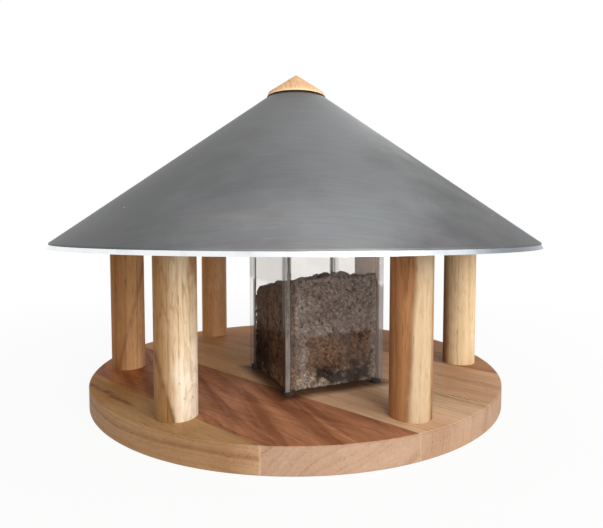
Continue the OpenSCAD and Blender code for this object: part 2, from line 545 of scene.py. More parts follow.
def oak_grain():
    """The node group that draws oak, with growth rings round the X axis of its vector."""
    numbers = dict.fromkeys(("Ring Width", "Wave", "Curl", "Figure", "Pores"), "Float")
    tree, given, out = group(
        "Oak grain",
        "ShaderNodeTree",
        {"Vector": "Vector", **numbers, "Pale": "Color", "Dark": "Color"},
        {"Color": "Color", "Height": "Float", "Roughness": "Float"},
    )
    coords, width = given["Vector"], given["Ring Width"]
    # The rings wander slowly along the log, and finely across it.
    along = read(tree, "ShaderNodeCombineXYZ", {0: given["Curl"], 1: 1.0, 2: 1.0})
    slow = (given["Wave"] * 4.0).scaling(noise(coords * along, 13, output="Color") - HALF)
    fine = (noise(coords * (0.3, 1, 1), 110, output="Color") - HALF) * (0, 0.0016, 0.0016)
    wandered = coords + slow + fine
    radius = (wandered * (0, 1, 1)).length()
    # Some years grew wider than others.
    inputs = {"W": radius / (width * 3.0), "Scale": 1.0, "Detail": 1.0}
    years = read(tree, "ShaderNodeTexNoise", inputs, "Fac", noise_dimensions="1D")
    rings = years * 2.4 + radius / width
    inputs = {"W": rings.maths("FLOOR")}
    each = read(tree, "ShaderNodeTexWhiteNoise", inputs, "Value", noise_dimensions="1D")
    line = ramp(rings.maths("FRACT"), [(place, (level,) * 3) for place, level in RING_LEVELS])
    line = line * (each.maths("POWER", 1.5) * 0.85 + 0.15)
    broad = noise(wandered * (0.2, 1, 1), 26, 3, 0.55).ranged(0.34, 0.7)
    stripe = noise(wandered * (0.08, 1, 1), 140, 3, 0.6) - 0.5
    fibre = noise(wandered * (0.04, 1, 1), 620, 4, 0.6)
    dark = line * (given["Figure"] * 0.8) + broad * 0.38 + stripe * 0.38
    dark = dark.maths("ADD", (fibre - 0.5) * 0.6, clamp=True)
    colour = dark.between(given["Pale"], given["Dark"])
    pore = noise(wandered * (0.05, 1, 1), 1700, 1).ranged(0.58, 0.68)
    pore = pore * (line * 0.7 + 0.3) * given["Pores"]
    colour = pore.between(colour, given["Dark"].tinted((0.42, 0.38, 0.34)))
    rough = fibre.ranged(0.3, 0.7, -0.08, 0.08)
    wire(out, {"Color": colour, "Height": fibre * 0.35 - pore, "Roughness": rough})
    return tree


def sawn_share(spot):
    """One on the base's sawn rim, and zero on its oiled top."""
    return (spot * (1, 1, 0)).length().ranged(*SAWN_AT)


def oak_finish(name, board, turn, sap=None, axis=None, extra=None):
    """Oak cut as board says. turn is the grain's direction; axis is a post's, for its sapwood."""
    oak = bpy.context.scene.feeder_oak
    made, tree, shader = material(name)
    pale, dark = tone(board.pale), tone(board.dark)
    veins = []
    if sap:
        spot = placed(tree, (axis.x, axis.y, 0))
        wander = (noise(spot * (1, 1, 0.25), 45, 3, 0.55) - 0.5) * 0.008
        share = 1.0
        for edge in sap.edges:
            across = (math.cos(sap.turn), math.sin(sap.turn), edge.lean)
            side = spot.dot(across) + wander - edge.offset
            if edge.soft:
                share = side.ranged(-edge.way * edge.soft, edge.way * edge.soft) * share
            if edge.line:
                veins.append((side, edge.line))
        pale = share.between(pale, tone(sap.pale) if sap.pale else tuple(oak.sap_pale))
        dark = share.between(dark, tone(sap.dark) if sap.dark else tuple(oak.sap_dark))
    if board.sawn:
        # Round the rim the saw left the wood bare and paler than the oiled top.
        spot = placed(tree)
        front = spot.axes()[0].ranged(*FRESH_AT)
        sawn = front.between(tone(board.sawn), tone(board.fresh or board.sawn))
        share = sawn_share(spot)
        pale = share.between(pale, sawn)
        dark = share.between(dark, sawn.tinted((0.62, 0.5, 0.42)))
    inputs = {
        "Vector": placed(tree, board.pith, tuple(turn.to_euler())),
        "Ring Width": board.ring,
        "Wave": board.wave,
        "Curl": board.curl,
        "Figure": board.figure,
        "Pores": oak.pores,
        "Pale": pale,
        "Dark": dark,
    }
    grain = bpy.data.node_groups.get("Oak grain") or oak_grain()
    wood = node(tree, "ShaderNodeGroup", inputs, node_tree=grain)
    colour, height, rough = (Value(s) for s in wood.outputs)
    for side, amount in veins:
        colour = streak(colour, side, 0.0035, amount)
    if extra:
        colour, height = extra(colour, height)
    rough = rough + oak.roughness
    wire(shader, {"Base Color": colour, "Roughness": rough, "Specular IOR Level": 0.15})
    bump(shader, height, 0.35, 0.0004)
    return made


def streak(colour, distance, width, amount):
    """A dark vein where distance is near zero, stronger in some places than in others."""
    near = abs(distance).ranged(0.0, width, 1.0, 0.0)
    patchy = noise(placed(colour.tree), 70).ranged(0.3, 0.65, 0.35, 1.0)
    return colour.shaded(near * patchy * amount, (0.3, 0.18, 0.1))


STAVE_BOARDS = (
    Board(
        "C49A6A", "845A32", (-0.118, -0.131, -0.07), 0.0036, 0.004, 0.3, 0.95, "9E7A56", "B2906E"
    ),
    Board("BC7F5A", "70422B", (-0.0314, -0.0349, -0.096), 0.0045, 0.009, 0.45, 0.5, "B4957C"),
    Board("F0C9A4", "A87A4C", (0.1, 0.111, -0.02), 0.0035, 0.009, 0.35, 0.62, "B09076"),
    Board("DEAE86", "A07450", (-0.067, -0.074, -0.04), 0.004, 0.006, 0.25, 0.5, "A8886E"),
    Board("B17C4E", "784D2D", (0.0, 0.0, -0.08), 0.004, 0.006, 0.25, 0.55, "A4825F"),
)


def stave_reach(name, across):
    """How far a stave reaches across the glue joints, from the middle of the base."""
    reach = [across.dot(v.co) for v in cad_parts[name].data.vertices]
    return min(reach), max(reach)


def glue_joints(edges, along, across, vein=None, crack=None, bands=None):
    """Draws a stave's glue joints, and the vein, crack or slanting bands that it has."""

    def draw(colour, height):
        tree = colour.tree
        spot = placed(tree)
        place, run = spot.dot(tuple(across)), spot.dot(tuple(along))
        sawn = sawn_share(spot)
        oiled = 1.0 - sawn
        glue = sawn.between(tone("8A6444"), tone("DEC29C"))
        for edge in edges:
            near = abs(place - edge).ranged(0.0002, 0.0007, 1.0, 0.0)
            colour = (near * 0.22).between(colour, glue)
        wander = noise(spot * (1, 1, 0), 22) - 0.5
        if bands is not None:
            # Broad soft bands slant across the grain.
            slant = placed(tree, rotation=(0, 0, bands)) * (0.13, 1, 1)
            broad = noise(slant, 88, 3, 0.55, distortion=0.5)
            darker = broad.ranged(0.5, 0.64, 0.0, 0.7) * oiled
            colour = colour.shaded(darker, (0.62, 0.5, 0.46))
            paler = broad.ranged(0.5, 0.38, 0.0, 0.6) * oiled
            colour = colour.shaded(paler, (1.35, 1.4, 1.5))
        if vein:
            centre, start, end = vein
            bent = wander * 0.014 + (place - centre)
            held = run.ranged(end, end - 0.02) * run.ranged(start - 0.02, start)
            colour = streak(colour, bent, 0.0045, held * 0.75)
        if crack:
            centre, start, end = crack
            held = run.ranged(start - 0.004, start) * run.ranged(end, end - 0.004)
            jag = noise(spot * (1, 1, 0), 190) - 0.5
            gap = abs(jag * 0.007 + (place - centre))
            halo = gap.ranged(0.001, 0.003, 0.5, 0.0) * held
            colour = halo.between(colour, tone("E2BE92"))
            deep = gap.ranged(0.0003, 0.0008, 0.85, 0.0) * held
            colour = deep.between(colour, tuple(bpy.context.scene.feeder_oak.crack))
            height = height - deep * 2.0
        # Painted shade: the oiled top is painted darker and warmer at the back left, under the
        # roof.
        x, y, z = spot.axes()
        painted_back_left_shade = (wander * 0.08 + (x * -0.6 + y)).ranged(-0.07, 0.01) * oiled
        colour = colour.shaded(painted_back_left_shade, (0.86, 0.68, 0.44))
        # Painted shadow: the wood under the silo and close round it is darkened, where shade falls.
        own_x, own_y, _ = in_silo(tree).axes()
        beside = wander * 0.01 + (abs(own_x).most(abs(own_y)) - silo_half())
        painted_silo_shadow = beside.ranged(-0.002, 0.013, 0.95, 0.0) * z.ranged(0.017, 0.019)
        return colour.shaded(painted_silo_shadow, (0.15, 0.11, 0.08)), height

    return draw


class FEEDER_OT_base(bpy.types.Operator):
    """Finish the base's glued oak staves"""

    bl_idname = "feeder.base"
    bl_label = "Base Staves"

    def execute(self, context):
        turn = context.scene.feeder_oak.stave_turn
        grain = Matrix.Rotation(turn, 3, "Z") @ Matrix.Rotation(0.02, 3, "Y")
        along = Vector((math.cos(turn), math.sin(turn), 0))
        across = Vector((-along.y, along.x, 0))
        reaches = {name: stave_reach(name, across) for name in STAVES}
        joint = reaches["base_stave_4"][0]
        veins = {"base_stave_1": (reaches["base_stave_1"][1] - 0.017, -0.12, 0.0)}
        cracks = {name: (joint, 0.158, 0.193) for name in ("base_stave_3", "base_stave_4")}
        for name, board in zip(STAVES, STAVE_BOARDS):
            joints = [edge for edge in reaches[name] if abs(edge) < BASE_RADIUS * 0.95]
            bands = turn - 0.38 if name == "base_stave_2" else None
            drawn = glue_joints(joints, along, across, veins.get(name), cracks.get(name), bands)
            give(name, oak_finish(f"Oak {name}", board, grain, extra=drawn))
        return {"FINISHED"}


# Each post's sapwood is given across the view from the front; on post_3 and post_4 it is also
# painted light.
POST_BOARDS = (
    (
        Board("B07C50", "6C4322", (0.03, 0.05, 0), ring=0.0026, figure=0.95),
        Sap(math.radians(-13), (Edge(-0.0028, -0.03, line=0.5), Edge(0.0148, way=-1)), "C4AD8E"),
    ),
    (
        Board("A07647", "664122", (-0.05, -0.03, 0), ring=0.004, wave=0.006, figure=0.6),
        Sap(
            math.radians(15),
            (Edge(-0.004, 0.0, soft=0.010), Edge(0.0065, 0.325, soft=0.0015, line=0.6)),
            "DBC9AC",
        ),
    ),
    # post_3: its pale right side is partly sapwood and partly painted light, where light falls from
    # the right.
    (
        Board("9A693A", "684024", (0.05, 0.03, 0), ring=0.004, figure=0.6),
        Sap(
            math.radians(20),
            (Edge(0.0, soft=0.012), Edge(-0.015, -0.25, soft=0, line=0.4)),
            "F4C28C",
            "BE8855",
        ),
    ),
    # post_4: its pale right side is partly sapwood and partly painted light, where light falls from
    # the right.
    (
        Board("BF864C", "80522B", (-0.03, 0.05, 0), ring=0.0035, figure=0.6),
        Sap(math.radians(10), (Edge(-0.004, soft=0.010),), "F7C391", "BC8856"),
    ),
    (Board("AF8052", "7A502C", (0.04, -0.05, 0), ring=0.004, figure=0.5), None),
    (
        Board("8F5E34", "643B1B", (-0.04, 0.02, 0), ring=0.0035, figure=0.5),
        Sap(math.radians(-18), (Edge(-0.0125, soft=0.004, line=0.15),), "E0C49C"),
    ),
)
# How closely each post's grain ripples, and how much it shows
RIPPLES = {
    "post_1": (60, 0.22),
    "post_3": (60, 0.2),
    "post_4": (150, 0.45),
    "post_5": (90, 0.2),
    "post_6": (90, 0.3),
}


def waves(colour, spot, scale, amount, tint):
    """Wavy lines of a rippled grain, stronger in some places than in others."""
    field = noise(spot * (1, 1, 0.17), scale, 3, distortion=0.5)
    near = abs((field * 9.0).maths("FRACT") - 0.5)
    patchy = noise(spot, 48).ranged(0.35, 0.6)
    return colour.shaded(near.ranged(0.3, 0.0) * patchy * amount, tint)


def rippled(axis, scale, amount):
    """Draws a rippled grain on a whole post."""

    def draw(colour, height):
        spot = placed(colour.tree, (axis.x, axis.y, 0))
        return waves(colour, spot, scale, amount, (0.66, 0.54, 0.42)), height

    return draw


def post_marks(axis, turn):
    """Draws a rippled grain, a brown patch at a post's head, and a pale foot with dark specks."""

    def draw(colour, height):
        spot = placed(colour.tree, (axis.x, axis.y, 0))
        wander = (noise(spot, 60) - 0.5) * 0.012
        side = spot.dot((math.cos(turn), math.sin(turn), 0.0)) + wander
        up = wander * 3.0 + spot.axes()[2]
        head = up.ranged(0.112, 0.126) * side.ranged(0.007, 0.011)
        colour = colour.shaded(head * 0.8, (0.6, 0.36, 0.22))
        foot = up.ranged(0.085, 0.055) * side.ranged(-0.004, 0.004)
        colour = (foot * 0.45).between(colour, tone("F8ECDC"))
        colour = waves(colour, spot, 85, 0.6, (0.66, 0.54, 0.34))
        low = up.ranged(0.064, 0.05) * side.ranged(0.0, 0.003)
        fleck = specks(spot * (1, 1, 0.45), 420.0, 0.24, 0.1, 0.6) * low * 0.55
        return fleck.between(colour, tuple(bpy.context.scene.feeder_oak.crack)), height

    return draw


class FEEDER_OT_posts(bpy.types.Operator):
    """Finish the six oak posts"""

    bl_idname = "feeder.posts"
    bl_label = "Posts"

    def execute(self, context):
        upright = Matrix.Rotation(math.radians(-90), 3, "Y")
        for name, (board, sap) in zip(POSTS, POST_BOARDS):
            axis = middle(name)
            board = board._replace(pith=(axis.x + board.pith[0], axis.y + board.pith[1], 0))
            if name == "post_2":
                marks = post_marks(axis, sap.turn)
            else:
                marks = rippled(axis, *RIPPLES[name])
            give(name, oak_finish(f"Oak {name}", board, upright, sap, axis, marks))
        return {"FINISHED"}


# ---------------------------------------------------------------- ring, screws and finial


def metal_finish(name, scale, tones, gloss):
    """Bright metal, cloudy in its tone and its roughness."""
    made, tree, shader = material(name)
    cloud = noise(placed(tree), scale, 3)
    colour = cloud.between(tone(tones[0]), tone(tones[1]))
    rough = cloud.ranged(0.3, 0.7, *gloss)
    wire(shader, {"Base Color": colour, "Metallic": 1.0, "Roughness": rough})
    return made


def steel_finish():
    """Zinc-plated steel of the screws and the washer."""
    made = bpy.data.materials.get("Plated steel")
    return made or metal_finish("Plated steel", 400, ("A9ABAD", "CFD1D2"), (0.25, 0.42))


def screw_head(width, proud):
    """A countersunk head with a cross recess, a little proud of z = 0."""
    shape = bmesh.new()
    half, arm, slot = width / 2, width * 0.27, width * 0.055

    def loop(points, z):
        verts = [shape.verts.new((x, y, z)) for x, y in points]
        edges = [shape.edges.new((a, b)) for a, b in zip(verts, verts[1:] + verts[:1])]
        return verts, edges

    circle = [(math.cos(math.tau * i / 32), math.sin(math.tau * i / 32)) for i in range(32)]
    quarter = [(arm, -slot), (arm, slot), (slot, slot)]
    cross = []
    for turn in range(4):
        c, s = round(math.cos(turn * math.pi / 2)), round(math.sin(turn * math.pi / 2))
        cross += [(c * x - s * y, s * x + c * y) for x, y in quarter]
    rim, rim_edges = loop([(half * x, half * y) for x, y in circle], proud)
    upper, upper_edges = loop(cross, proud)
    bmesh.ops.triangle_fill(shape, edges=rim_edges + upper_edges, use_beauty=True)
    lower, _ = loop([(0.8 * x, 0.8 * y) for x, y in cross], proud - width * 0.16)
    wall(shape, upper, lower)
    shape.faces.new(lower)
    foot, _ = loop([(half * 0.5 * x, half * 0.5 * y) for x, y in circle], -width * 0.28)
    wall(shape, rim, foot)
    shape.faces.new(foot)
    bmesh.ops.recalc_face_normals(shape, faces=shape.faces)
    return meshed("screw_head", shape)


def screw_spread():
    """The Geometry Nodes tree that sets a screw on each point of a mesh, each with its own turn."""
    tree, given, out = group(
        "Screw spread",
        "GeometryNodeTree",
        {"Geometry": "Geometry", "Head": "Object", "Seed": "Int", "Finish": "Material"},
        {"Geometry": "Geometry"},
    )
    inputs = {
        "Points": read(tree, "GeometryNodeMeshToPoints", {"Mesh": given["Geometry"]}),
        "Instance": read(tree, "GeometryNodeObjectInfo", {"Object": given["Head"]}, "Geometry"),
        "Rotation": chance(tree, "FLOAT_VECTOR", (0, 0, 0), (0, 0, math.tau), given["Seed"]),
    }
    laid = read(tree, "GeometryNodeInstanceOnPoints", inputs)
    real = read(tree, "GeometryNodeRealizeInstances", {0: laid})
    inputs = {"Geometry": real, "Material": given["Finish"]}
    wire(out, {"Geometry": read(tree, "GeometryNodeSetMaterial", inputs)})
    return tree


class FEEDER_OT_ring(bpy.types.Operator):
    """Finish the head ring and the roof's plug, and set the ring's screws"""

    bl_idname = "feeder.ring"
    bl_label = "Head Ring"

    def execute(self, context):
        turn = context.scene.feeder_oak.stave_turn
        board = Board("BE9263", "8A6038", (0.05, 0.3, 0.12), ring=0.004, figure=0.6)
        ring = oak_finish("Oak ring", board, Matrix.Rotation(turn, 3, "Z"))
        give("head_ring", ring)
        give("roof_plug", ring)

        # A countersunk screw through the ring holds each post.
        settings = context.scene.feeder_ring
        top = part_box("head_ring")[1].z
        spots = bpy.data.meshes.new("screw_spots")
        places = [middle(name).xy for name in POSTS]
        inwards = [(1 - settings.inset / place.length) * place for place in places]
        spots.from_pydata([(*place, top) for place in inwards], [], [])
        head = linked("screw_head", screw_head(settings.head, SCREW_PROUD))
        values = {"Head": head, "Seed": SCREW_SEED, "Finish": steel_finish()}
        screws = grown("ring_screws", spots, screw_spread(), values)
        bpy.data.objects.remove(head)
        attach(screws, "stand")
        return {"FINISHED"}


class FEEDER_OT_finial(bpy.types.Operator):
    """Finish the turned oak finial"""

    bl_idname = "feeder.finial"
    bl_label = "Finial"

    def execute(self, context):
        upright = Matrix.Rotation(math.radians(-86), 3, "Y")
        board = Board("EABE90", "AE7040", (0.22, 0.03, 0.3), 0.0028, 0.0026, figure=1.0)
        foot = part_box("finial")[0].z

        def sanded(colour, height):
            # The turned rim is sanded paler than the cone.
            share = placed(colour.tree).axes()[2].ranged(foot + 0.0026, foot + 0.0018)
            return share.between(colour, tone("E6C294")), height

        give("finial", oak_finish("Oak finial", board, upright, extra=sanded))
        return {"FINISHED"}


# ---------------------------------------------------------------- silo


def silo_place():
    """Middle of the silo's footprint, on the base."""
    spot = sum((middle(name) for name in PANES), Vector()) / 4
    return Vector((spot.x, spot.y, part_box("silo_pads")[0].z))


def silo_frame(place):
    """The silo's turn, about a place on its axis."""
    turn = bpy.context.scene.feeder_silo.turn
    return Matrix.Translation(place) @ Matrix.Rotation(turn, 4, "Z")


def silo_half():
    """Half the silo's outside width."""
    turn = bpy.context.scene.feeder_silo.turn
    low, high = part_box("silo_pane_left")
    reach = (high.x - low.x, high.y - low.y)
    # A box of width w and thickness t, turned: reach = (w sin + t cos, w cos + t sin)
    s, c = abs(math.sin(turn)), abs(math.cos(turn))
    return (reach[1] * c - reach[0] * s) / (c * c - s * s) / 2


def in_silo(tree):
    """Coordinates in the silo's own frame."""
    return placed(tree, tuple(silo_place()), (0, 0, bpy.context.scene.feeder_silo.turn))


def glass_finish():
    """Clear panes with a thin film of dust, ground ends and a dark line of sealant beside them."""
    made, tree, shader = material("Clear glass")
    coords = in_silo(tree)
    own_x, own_y, up = coords.axes()
    x, y = abs(own_x), abs(own_y)
    half = silo_half()
    inner = half - PANE
    streaks = noise(coords * (1, 1, 0.3), 160, 3, 0.6)
    # The ground ends stand in the corners of the front and the back.
    ends = x.ranged(inner - 0.0001, inner + 0.0001) * y.ranged(half - 0.0008, half - 0.0002)
    ground = ends * (own_x + own_y).ranged(-0.07, -0.02, 1.0, 0.25)
    # Sealant shows dark behind the panes' outer strips, most at the front and back corners.
    wide = own_y.ranged(0.0, -0.01) * -0.0038 + (half - 0.0034)
    strip = (y - wide).ranged(0.0, 0.0008) * x.ranged(half - 0.0008, half - 0.0002)
    line = abs(x - (half - 0.0042)).ranged(0.0011, 0.0006)
    line = line * y.ranged(half - 0.0046, half - 0.0040)
    seam = strip.most(line) * (own_x * own_y).ranged(0.0002, 0.0010, 0.12, 1.0)
    # Above the seed the dust gathers beside the corners and on the left.
    beside = y.ranged(half - 0.011, half - 0.008) * 0.3 * x.ranged(half - 0.0045, half - 0.0041)
    left = own_x.ranged(0.006 - half, 0.004 - half)
    film = noise(coords, 35, 3).ranged(0.3, 0.7, 0.0, 0.03) * (left * -0.8 + 1.0)
    film = up.ranged(0.087, 0.094) * beside.most(left * 0.12) + film
    thick = up.ranged(0.09, 0.06) * 0.22 + streaks.ranged(0.3, 0.7, 0.3, 0.75)
    cover = film.most(ground * thick).most(seam * 0.7)
    # The joints between the panes are sealed, and dusty as high as the seed lies.
    joint = abs(x - inner).ranged(0.0003, 0.0002) * y.ranged(half - 0.0044, half - 0.0041)
    joint = joint * up.ranged(*SEED_FADE, 0.1, 0.65)
    # Seed dust has settled in the front right corner as high as the seed lies.
    settled = ends * own_x.ranged(0.0, 0.01) * up.ranged(*SEED_FADE)
    cover = cover.most(joint).most(settled * 0.7)
    pale = left.between(streaks.between(tone("CECAC3"), tone("F0EDE8")), tone("8C847C"))
    colour = (seam * (1.0 - ground)).between(pale, tone("463B37"))
    dust = streaks.between(tone("63564F"), tone("948881"))
    colour = settled.most(joint).between(colour, dust)
    rough = ground * 0.3 + 0.2
    wire(shader, {"Base Color": colour, "Specular IOR Level": 0.1, "Roughness": rough})
    inputs = {
        "Base Color": tuple(bpy.context.scene.feeder_silo.glass),
        "Transmission Weight": 1.0,
        "Roughness": 0.0,
        "IOR": GLASS_IOR,
    }
    glass = read(tree, "ShaderNodeBsdfPrincipled", inputs)
    clear = read(tree, "ShaderNodeBsdfTransparent", {"Color": tone("FBFAF9")})
    dusty = layered(cover, layered(left * -0.04 + 0.05, clear, glass), Value(shader.outputs[0]))
    # Lamps reach the seed and the base through the panes.
    shadow = read(tree, "ShaderNodeLightPath", output="Is Shadow Ray")
    wire(tree.nodes["Material Output"], {"Surface": layered(shadow, dusty, clear)})
    return made


class FEEDER_OT_glass(bpy.types.Operator):
    """Finish the silo's panes and pads"""

    bl_idname = "feeder.glass"
    bl_label = "Silo Glass"

    def execute(self, context):
        glass = glass_finish()
        for name in PANES:
            give(name, glass)
        pad, tree, shader = material("Rubber pad")
        cloud = noise(placed(tree), 500, 3)
        # The pads' dark brown is partly their rubber and partly painted shadow, to match the shade
        # under the silo.
        colour = cloud.between(tone("2A211B"), tone("42362C"))
        wire(shader, {"Base Color": colour, "Roughness": 0.75, "Specular IOR Level": 0.2})
        bump(shader, cloud, 0.3, 0.0003)
        give("silo_pads", pad)
        return {"FINISHED"}


def seed_scatter():
    """The Geometry Nodes tree that lays grains on a surface."""
    inputs = {
        "Geometry": "Geometry",
        "Count": "Int",
        "Length": "Float",
        "Slimness": "Float",
        "Smooth": "Bool",
        "Seed": "Int",
        "Finish": "Material",
    }
    tree, given, out = group("Seed scatter", "GeometryNodeTree", inputs, {"Geometry": "Geometry"})
    surface, seed, slimness = given["Geometry"], given["Seed"], given["Slimness"]
    inputs = {"Geometry": surface, 2: read(tree, "GeometryNodeInputMeshFaceArea")}
    area = read(tree, "GeometryNodeAttributeStatistic", inputs, "Sum", domain="FACE")
    inputs = {"Mesh": surface, "Density": given["Count"] / area, "Seed": seed}
    points = read(tree, "GeometryNodeDistributePointsOnFaces", inputs, "Points")
    ball = read(tree, "GeometryNodeMeshIcoSphere", {"Radius": 0.5, "Subdivisions": 1}, "Mesh")
    slim = read(tree, "ShaderNodeCombineXYZ", {0: 1.0, 1: slimness, 2: slimness * 0.8})
    inputs = {
        "Points": points,
        "Instance": read(tree, "GeometryNodeTransform", {"Geometry": ball, "Scale": slim}),
        "Rotation": chance(tree, "FLOAT_VECTOR", (0, 0, 0), (math.tau,) * 3, seed + 1),
        "Scale": chance(tree, "FLOAT", 0.45, 1.2, seed + 2) * given["Length"],
    }
    laid = read(tree, "GeometryNodeInstanceOnPoints", inputs)
    inputs = {"Geometry": laid, "Name": "grain_tone"}
    toned = node(
        tree, "GeometryNodeStoreNamedAttribute", inputs, data_type="FLOAT", domain="INSTANCE"
    )
    value = next(i for i, s in enumerate(toned.inputs) if s.name == "Value" and s.enabled)
    wire(toned, {value: chance(tree, "FLOAT", 0.0, 1.0, seed + 3)})
    real = read(tree, "GeometryNodeRealizeInstances", {0: Value(toned.outputs[0])})
    inputs = {"Geometry": real, "Shade Smooth": given["Smooth"]}
    inputs = {"Geometry": read(tree, "GeometryNodeSetShadeSmooth", inputs)}
    inputs["Material"] = given["Finish"]
    wire(out, {"Geometry": read(tree, "GeometryNodeSetMaterial", inputs)})
    return tree


def seed_finish(name, tones, gloss):
    """Mixed seed: each grain has its own tone, and the heap has browner, darker and paler parts."""
    made, tree, shader = material(name)
    own = read(tree, "ShaderNodeAttribute", output="Fac", attribute_name="grain_tone")
    mottle = noise(placed(tree), 420, 3, 0.6).ranged(0.3, 0.7, -0.3, 0.3)
    stops = [(i / (len(tones) - 1), tone(code)) for i, code in enumerate(tones)]
    colour = ramp(own.maths("ADD", mottle, clamp=True), stops)
    coords = in_silo(tree)
    inner = silo_half() - PANE
    left = coords.axes()[0].ranged(0.008 - inner, 0.005 - inner)
    inputs = {0: noise(coords, 75, 3, output="Color") - HALF, "Scale": 0.015}
    wander = read(tree, "ShaderNodeVectorMath", inputs, operation="SCALE")
    side, depth, up = (coords + wander).axes()
    # A browner layer lies in the middle, darker seed under it and at the left, and dust below.
    brown = up.within(0.017, 0.047) * side.within(-0.026, 0.036)
    colour = colour.shaded(brown, (0.6, 0.4, 0.26))
    # The brown seed lies in clumps: the gaps between them are painted shade, and the clumps painted
    # light.
    clump = noise(coords, 170, 3, 0.6)
    browner = brown.most(left)
    gap = clump.ranged(0.5, 0.62, 0.0, 0.75) * browner
    colour = colour.shaded(gap, (0.34, 0.27, 0.22))
    bright = clump.ranged(0.46, 0.36, 0.0, 0.6) * browner
    colour = colour.shaded(bright, (1.5, 1.4, 1.2))
    beside = up.within(0.014, 0.05, 0.006) * side.within(-0.05, -0.029)
    colour = colour.shaded(beside, (0.66, 0.56, 0.46)).shaded(left, (0.62, 0.44, 0.29))
    cloud = noise(coords, 60, 3).ranged(0.3, 0.7, 0.0, 0.45)
    colour = colour.shaded(cloud, (0.6, 0.56, 0.52))
    uneven = (noise(coords, 55, 3) - 0.5) * 0.03 + up
    dark = uneven.within(0.005, 0.019) * side.within(-0.02, 0.038)
    low_left = left * uneven.within(0.0, 0.04, 0.014) * depth.within(0.004, 0.06, 0.014)
    patchy = noise(coords, 110).ranged(0.28, 0.4)
    colour = colour.shaded(dark.most(low_left) * patchy, (0.13, 0.1, 0.09))
    speck = noise(coords, 900)
    colour = speck.ranged(0.35, 0.65, 0.0, 0.22).between(colour, (0.03, 0.02, 0.014))
    wire(shader, {"Base Color": colour, "Roughness": gloss, "Specular IOR Level": 0.12})
    bump(shader, speck, 0.3, 0.0003)
    return made


def seed_bed():
    """A copy of the seed's solid, drawn in so that the grains on it stay inside the glass."""
    shape = bmesh.new()
    shape.from_mesh(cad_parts["seed_fill"].data)
    bmesh.ops.remove_doubles(shape, verts=shape.verts, dist=1e-6)
    there = silo_frame(silo_place())
    back = there.inverted()
    reach = max(abs((back @ v.co).x) for v in shape.verts)
    draw = (reach - bpy.context.scene.feeder_silo.crumb_size * 0.3) / reach
    for vert in shape.verts:
        own = back @ vert.co
        own.x, own.y = own.x * draw, own.y * draw
        vert.co = there @ own
    # The seed lies in small clumps.
    bmesh.ops.triangulate(shape, faces=shape.faces)
    bottom = min(v.co.z for v in shape.verts)
    top = [f for f in shape.faces if f.normal.z > 0.5]
    edges = {e for f in top for e in f.edges}
    bmesh.ops.subdivide_edges(shape, edges=list(edges), cuts=3, use_grid_fill=True)
    for vert in shape.verts:
        if vert.co.z > bottom + 0.05:
            lump = noise_at(vert.co * 95) + 0.5 * noise_at(vert.co * 210)
            vert.co.z += 0.0032 * lump - 0.0022
    bmesh.ops.triangulate(shape, faces=shape.faces)
    return shape


def press(piece):
    """Presses the grains of a piece flat where they meet the glass, each to its own depth."""
    there = silo_frame(silo_place())
    back = there.inverted()
    limit = silo_half() - SEED_INSET
    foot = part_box("seed_fill")[0].z + 0.0001
    tones = piece.data.attributes["grain_tone"].data
    for vert, own in zip(piece.data.vertices, tones):
        reach = limit - 0.0004 * own.value
        spot = back @ vert.co
        spot.x = max(-reach, min(reach, spot.x))
        spot.y = max(-reach, min(reach, spot.y))
        vert.co = there @ spot
        vert.co.z = max(foot, vert.co.z)


class FEEDER_OT_seed(bpy.types.Operator):
    """Fill the silo with seed: a bed, with chopped kernels, husked seeds and pale grains on it"""

    bl_idname = "feeder.seed"
    bl_label = "Seed"

    def execute(self, context):
        silo = context.scene.feeder_silo
        bed_finish = seed_finish("Seed bed", ("7A6E68", "948680", "5C504A"), 0.9)
        bed = new_piece("seed_bed", seed_bed(), bed_finish, "stand")
        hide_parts("seed_fill")

        # The pale grains lie near the foot, and the others everywhere.
        shape = bmesh.new()
        shape.from_mesh(bed.data)
        top = (0, 0, silo_place().z + GRAINS_TOP)
        geometry = shape.verts[:] + shape.edges[:] + shape.faces[:]
        bmesh.ops.bisect_plane(
            shape, geom=geometry, plane_co=top, plane_no=(0, 0, 1), clear_outer=True
        )
        foot = meshed("seed_foot", shape)
        kernels = seed_finish(
            "Chopped kernels", ("6C5F59", "A8998F", "83766F", "B8ABA3", "76695F"), 0.7
        )
        husks = seed_finish("Husked seed", ("4A3A30", "75604F", "3A2F2A", "866A4C"), 0.5)
        grains = seed_finish("Pale grains", ("9C8262", "D8C09C", "8A7058", "E6D6C0", "A88A60"), 0.5)
        kinds = (
            ("seed_crumbs", bed.data.copy(), silo.crumbs, silo.crumb_size, 0.88, kernels),
            ("seed_husks", bed.data.copy(), silo.husks, silo.husk_size, 0.5, husks),
            ("seed_grains", foot, silo.grains, silo.grain_size, 0.55, grains),
        )
        tree = seed_scatter()
        for number, (name, surface, count, length, slimness, finish) in enumerate(kinds):
            values = {
                "Count": count,
                "Length": length,
                "Slimness": slimness,
                "Smooth": name == "seed_husks",
                "Seed": silo.scatter_seed + 10 * number,
                "Finish": finish,
            }
            piece = grown(name, surface, tree, values)
            press(piece)
            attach(piece, "stand")
        return {"FINISHED"}


